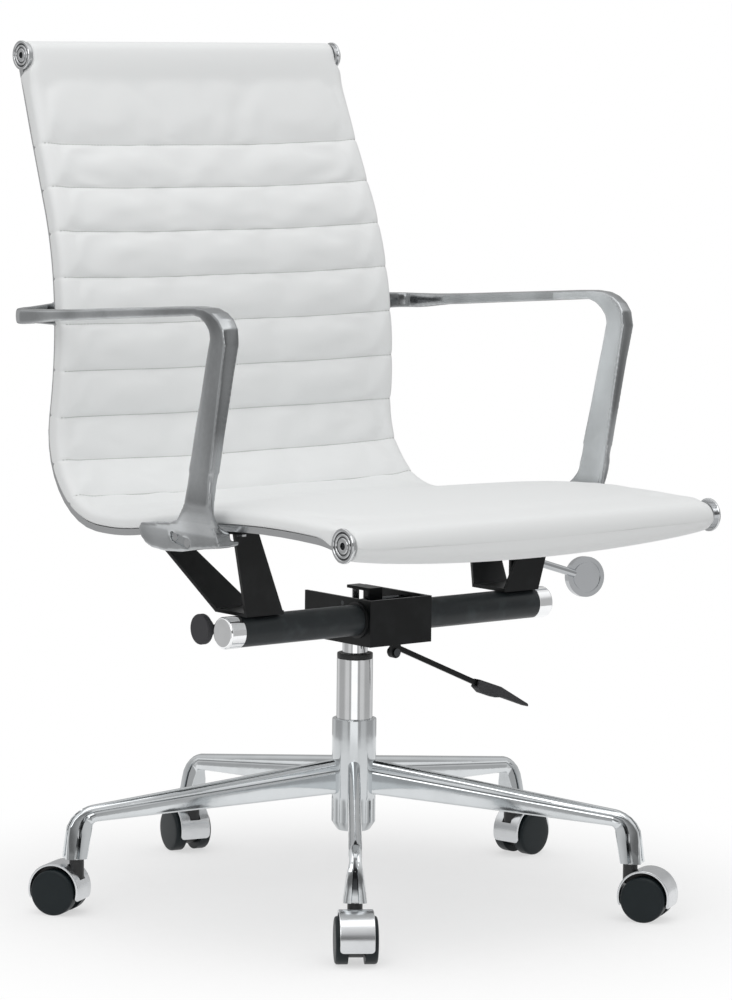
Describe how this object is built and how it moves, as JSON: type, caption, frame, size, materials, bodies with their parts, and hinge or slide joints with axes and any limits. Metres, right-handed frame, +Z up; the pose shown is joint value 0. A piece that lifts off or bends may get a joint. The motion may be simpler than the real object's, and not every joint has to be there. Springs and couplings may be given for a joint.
{
  "type": "swivel office chair",
  "caption": "Swivel office chair: ribbed leather sling between aluminium side rails with loop armrests, on a tilting crossbar, gas column and star base with hooded casters",
  "frame": {"origin": "On the floor under the column axis, which is the Z axis; the wheels rest on Z = 0.", "axes": "+Z is up, the sitter faces -Y, and +X is the sitter's left, which is the viewer's right when the chair is seen from the front."},
  "size_m": [0.6982, 0.6855, 0.9442],
  "materials": {
    "polished_base": "polished",
    "column_chrome": "polished",
    "guide_plastic": "matte black",
    "bright_steel": "bright zinc",
    "black_paint": "satin black",
    "black_grip": "fine textured black",
    "trim_chrome": "polished",
    "satin_aluminium": "satin polished",
    "white_leather": "smooth soft white",
    "hood_chrome": "polished",
    "caster_plastic": "matte black",
    "wheel_plastic": "charcoal, low gloss"
  },
  "bodies": {
    "base": {"star_base": "polished_base", "column_tube": "column_chrome", "guide_sleeve": "guide_plastic", "thrust_bearing": "bright_steel"},
    "piston": {"piston_rod": "bright_steel"},
    "column": {"gas_cylinder": "column_chrome", "tilt_housing": "black_paint", "crossbar_bushes": "guide_plastic", "release_pin": "bright_steel", "lever_pin": "bright_steel"},
    "button": {"release_button": "bright_steel"},
    "release": {"release_plate": "black_paint"},
    "lever": {"height_lever": "black_paint", "lever_paddle": "black_grip"},
    "knob": {"tension_knob": "black_grip", "tension_rod": "bright_steel"},
    "seat": {"crossbar_tube": "black_paint", "crossbar_caps": "trim_chrome", "torsion_bar": "bright_steel", "left_bracket": "black_paint", "right_bracket": "black_paint", "bracket_bolts": "bright_steel", "left_rail": "satin_aluminium", "right_rail": "satin_aluminium", "front_rod": "bright_steel", "top_rod": "bright_steel", "end_discs": "trim_chrome", "end_disc_screws": "bright_steel", "seat_sling": "white_leather", "left_armrest": "satin_aluminium", "right_armrest": "satin_aluminium", "armrest_screws": "bright_steel", "back_spreader": "satin_aluminium"},
    "lock": {"lock_lever": "trim_chrome", "lock_disc": "trim_chrome"},
    "caster_1": {"caster_1_hood": "hood_chrome", "caster_1_body": "caster_plastic", "caster_1_pins": "bright_steel"},
    "caster_1_a": {"caster_1_wheel_a": "wheel_plastic"},
    "caster_1_b": {"caster_1_wheel_b": "wheel_plastic"},
    "caster_2": {"caster_2_hood": "hood_chrome", "caster_2_body": "caster_plastic", "caster_2_pins": "bright_steel"},
    "caster_2_a": {"caster_2_wheel_a": "wheel_plastic"},
    "caster_2_b": {"caster_2_wheel_b": "wheel_plastic"},
    "caster_3": {"caster_3_hood": "hood_chrome", "caster_3_body": "caster_plastic", "caster_3_pins": "bright_steel"},
    "caster_3_a": {"caster_3_wheel_a": "wheel_plastic"},
    "caster_3_b": {"caster_3_wheel_b": "wheel_plastic"},
    "caster_4": {"caster_4_hood": "hood_chrome", "caster_4_body": "caster_plastic", "caster_4_pins": "bright_steel"},
    "caster_4_a": {"caster_4_wheel_a": "wheel_plastic"},
    "caster_4_b": {"caster_4_wheel_b": "wheel_plastic"},
    "caster_5": {"caster_5_hood": "hood_chrome", "caster_5_body": "caster_plastic", "caster_5_pins": "bright_steel"},
    "caster_5_a": {"caster_5_wheel_a": "wheel_plastic"},
    "caster_5_b": {"caster_5_wheel_b": "wheel_plastic"}
  },
  "joints": [
    {"name": "column_swivel", "type": "hinge", "parent": "base", "child": "piston", "pos_m": [0, 0, 0.1], "axis": [0, 0, 1], "continuous": true},
    {"name": "height", "type": "slide", "parent": "piston", "child": "column", "axis": [0, 0, 1], "range_m": [-0.012, 0.085]},
    {"name": "tilt", "type": "hinge", "parent": "column", "child": "seat", "pos_m": [0, -0.0567, 0.322], "axis": [-1, 0, 0], "range_deg": [0, 11], "stiffness_Nm_per_rad": 110, "springref_deg": -17.19},
    {"name": "height_lever_pivot", "type": "hinge", "parent": "column", "child": "lever", "pos_m": [0.011, -0.0567, 0.282], "axis": [0, -1, 0], "range_deg": [0, 10], "stiffness_Nm_per_rad": 2.5, "springref_deg": -8.59},
    {"name": "release_plate_pivot", "type": "hinge", "parent": "column", "child": "release", "pos_m": [0, -0.031, 0.338], "axis": [-1, 0, 0], "range_deg": [0, 4]},
    {"name": "release_button_press", "type": "slide", "parent": "column", "child": "button", "axis": [0, 0, -1], "range_m": [0, 0.0026]},
    {"name": "tension_knob_turn", "type": "hinge", "parent": "column", "child": "knob", "pos_m": [-0.2, -0.021, 0.3225], "axis": [1, 0, 0], "continuous": true},
    {"name": "lock_lever_pivot", "type": "hinge", "parent": "seat", "child": "lock", "pos_m": [0.176, -0.0567, 0.3795], "axis": [0, 1, 0], "range_deg": [-10, 10]},
    {"name": "caster_1_swivel", "type": "hinge", "parent": "base", "child": "caster_1", "pos_m": [-0.1956, -0.24946, 0.07], "axis": [0, 0, 1], "continuous": true},
    {"name": "caster_1_roll_a", "type": "hinge", "parent": "caster_1", "child": "caster_1_a", "pos_m": [-0.20707, -0.26584, 0.025], "axis": [0.8192, -0.5736, 0], "continuous": true},
    {"name": "caster_1_roll_b", "type": "hinge", "parent": "caster_1", "child": "caster_1_b", "pos_m": [-0.20707, -0.26584, 0.025], "axis": [0.8192, -0.5736, 0], "continuous": true},
    {"name": "caster_2_swivel", "type": "hinge", "parent": "base", "child": "caster_2", "pos_m": [0.1768, -0.26311, 0.07], "axis": [0, 0, 1], "continuous": true},
    {"name": "caster_2_roll_a", "type": "hinge", "parent": "caster_2", "child": "caster_2_a", "pos_m": [0.1874, -0.28008, 0.025], "axis": [0.848, 0.5299, 0], "continuous": true},
    {"name": "caster_2_roll_b", "type": "hinge", "parent": "caster_2", "child": "caster_2_b", "pos_m": [0.1874, -0.28008, 0.025], "axis": [0.848, 0.5299, 0], "continuous": true},
    {"name": "caster_3_swivel", "type": "hinge", "parent": "base", "child": "caster_3", "pos_m": [0.30487, 0.08685, 0.07], "axis": [0, 0, 1], "continuous": true},
    {"name": "caster_3_roll_a", "type": "hinge", "parent": "caster_3", "child": "caster_3_a", "pos_m": [0.3246, 0.09015, 0.025], "axis": [-0.165, 0.9863, 0], "continuous": true},
    {"name": "caster_3_roll_b", "type": "hinge", "parent": "caster_3", "child": "caster_3_b", "pos_m": [0.3246, 0.09015, 0.025], "axis": [-0.165, 0.9863, 0], "continuous": true},
    {"name": "caster_4_swivel", "type": "hinge", "parent": "base", "child": "caster_4", "pos_m": [0.01162, 0.31679, 0.07], "axis": [0, 0, 1], "continuous": true},
    {"name": "caster_4_roll_a", "type": "hinge", "parent": "caster_4", "child": "caster_4_a", "pos_m": [0.01577, 0.33635, 0.025], "axis": [-0.9781, 0.2079, 0], "continuous": true},
    {"name": "caster_4_roll_b", "type": "hinge", "parent": "caster_4", "child": "caster_4_b", "pos_m": [0.01577, 0.33635, 0.025], "axis": [-0.9781, 0.2079, 0], "continuous": true},
    {"name": "caster_5_swivel", "type": "hinge", "parent": "base", "child": "caster_5", "pos_m": [-0.29769, 0.10894, 0.07], "axis": [0, 0, 1], "continuous": true},
    {"name": "caster_5_roll_a", "type": "hinge", "parent": "caster_5", "child": "caster_5_a", "pos_m": [-0.30829, 0.1259, 0.025], "axis": [-0.848, -0.5299, 0], "continuous": true},
    {"name": "caster_5_roll_b", "type": "hinge", "parent": "caster_5", "child": "caster_5_b", "pos_m": [-0.30829, 0.1259, 0.025], "axis": [-0.848, -0.5299, 0], "continuous": true}
  ],
  "couplings": [
    {"joint": "release_plate_pivot", "follows": "height_lever_pivot", "ratio": 0.4},
    {"joint": "release_button_press", "follows": "height_lever_pivot", "m_per_rad": 0.0145}
  ]
}
